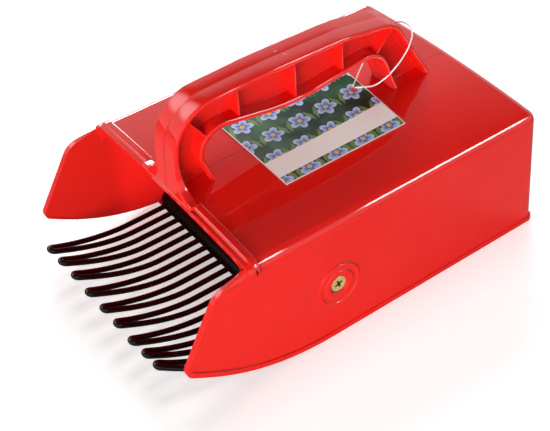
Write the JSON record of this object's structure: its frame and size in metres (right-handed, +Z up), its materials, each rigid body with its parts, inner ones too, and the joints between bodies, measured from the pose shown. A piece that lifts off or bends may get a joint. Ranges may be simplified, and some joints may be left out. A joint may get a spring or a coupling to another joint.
{
  "type": "berry picking rake",
  "caption": "Hand-held berry picking rake: red moulded scoop with an arched handle, a comb of black dipped wire loops, a sheet metal floor and a card tag on a string.",
  "frame": {"origin": "on the ground under the middle of the rake's own box, tag and string left out", "axes": "+Z up; the comb and the open mouth face -Y and the closed back faces +Y; +X is across the scoop"},
  "size_m": [0.1476, 0.2354, 0.1238],
  "materials": {
    "red_plastic": "glossy moulded",
    "black_dip": "glossy dip coating over steel wire",
    "sheet_steel": "galvanised sheet",
    "yellow_zinc": "yellow zinc plating",
    "printed_card": "coated printed card",
    "clear_nylon": "drawn nylon"
  },
  "bodies": {
    "root": {"body_shell": "red_plastic", "handle": "red_plastic", "comb_bar": "black_dip", "comb_tine_1": "black_dip", "comb_tine_2": "black_dip", "comb_tine_3": "black_dip", "comb_tine_4": "black_dip", "comb_tine_5": "black_dip", "comb_tine_6": "black_dip", "comb_tine_7": "black_dip", "comb_tine_8": "black_dip", "comb_tine_9": "black_dip", "floor_tray": "sheet_steel", "comb_rivet_1": "sheet_steel", "comb_rivet_2": "sheet_steel", "comb_rivet_3": "sheet_steel", "side_screw_left": "yellow_zinc", "side_screw_right": "yellow_zinc", "side_nut_left": "yellow_zinc", "side_nut_right": "yellow_zinc", "hang_tag": "printed_card", "tag_string": "clear_nylon"}
  },
  "joints": []
}
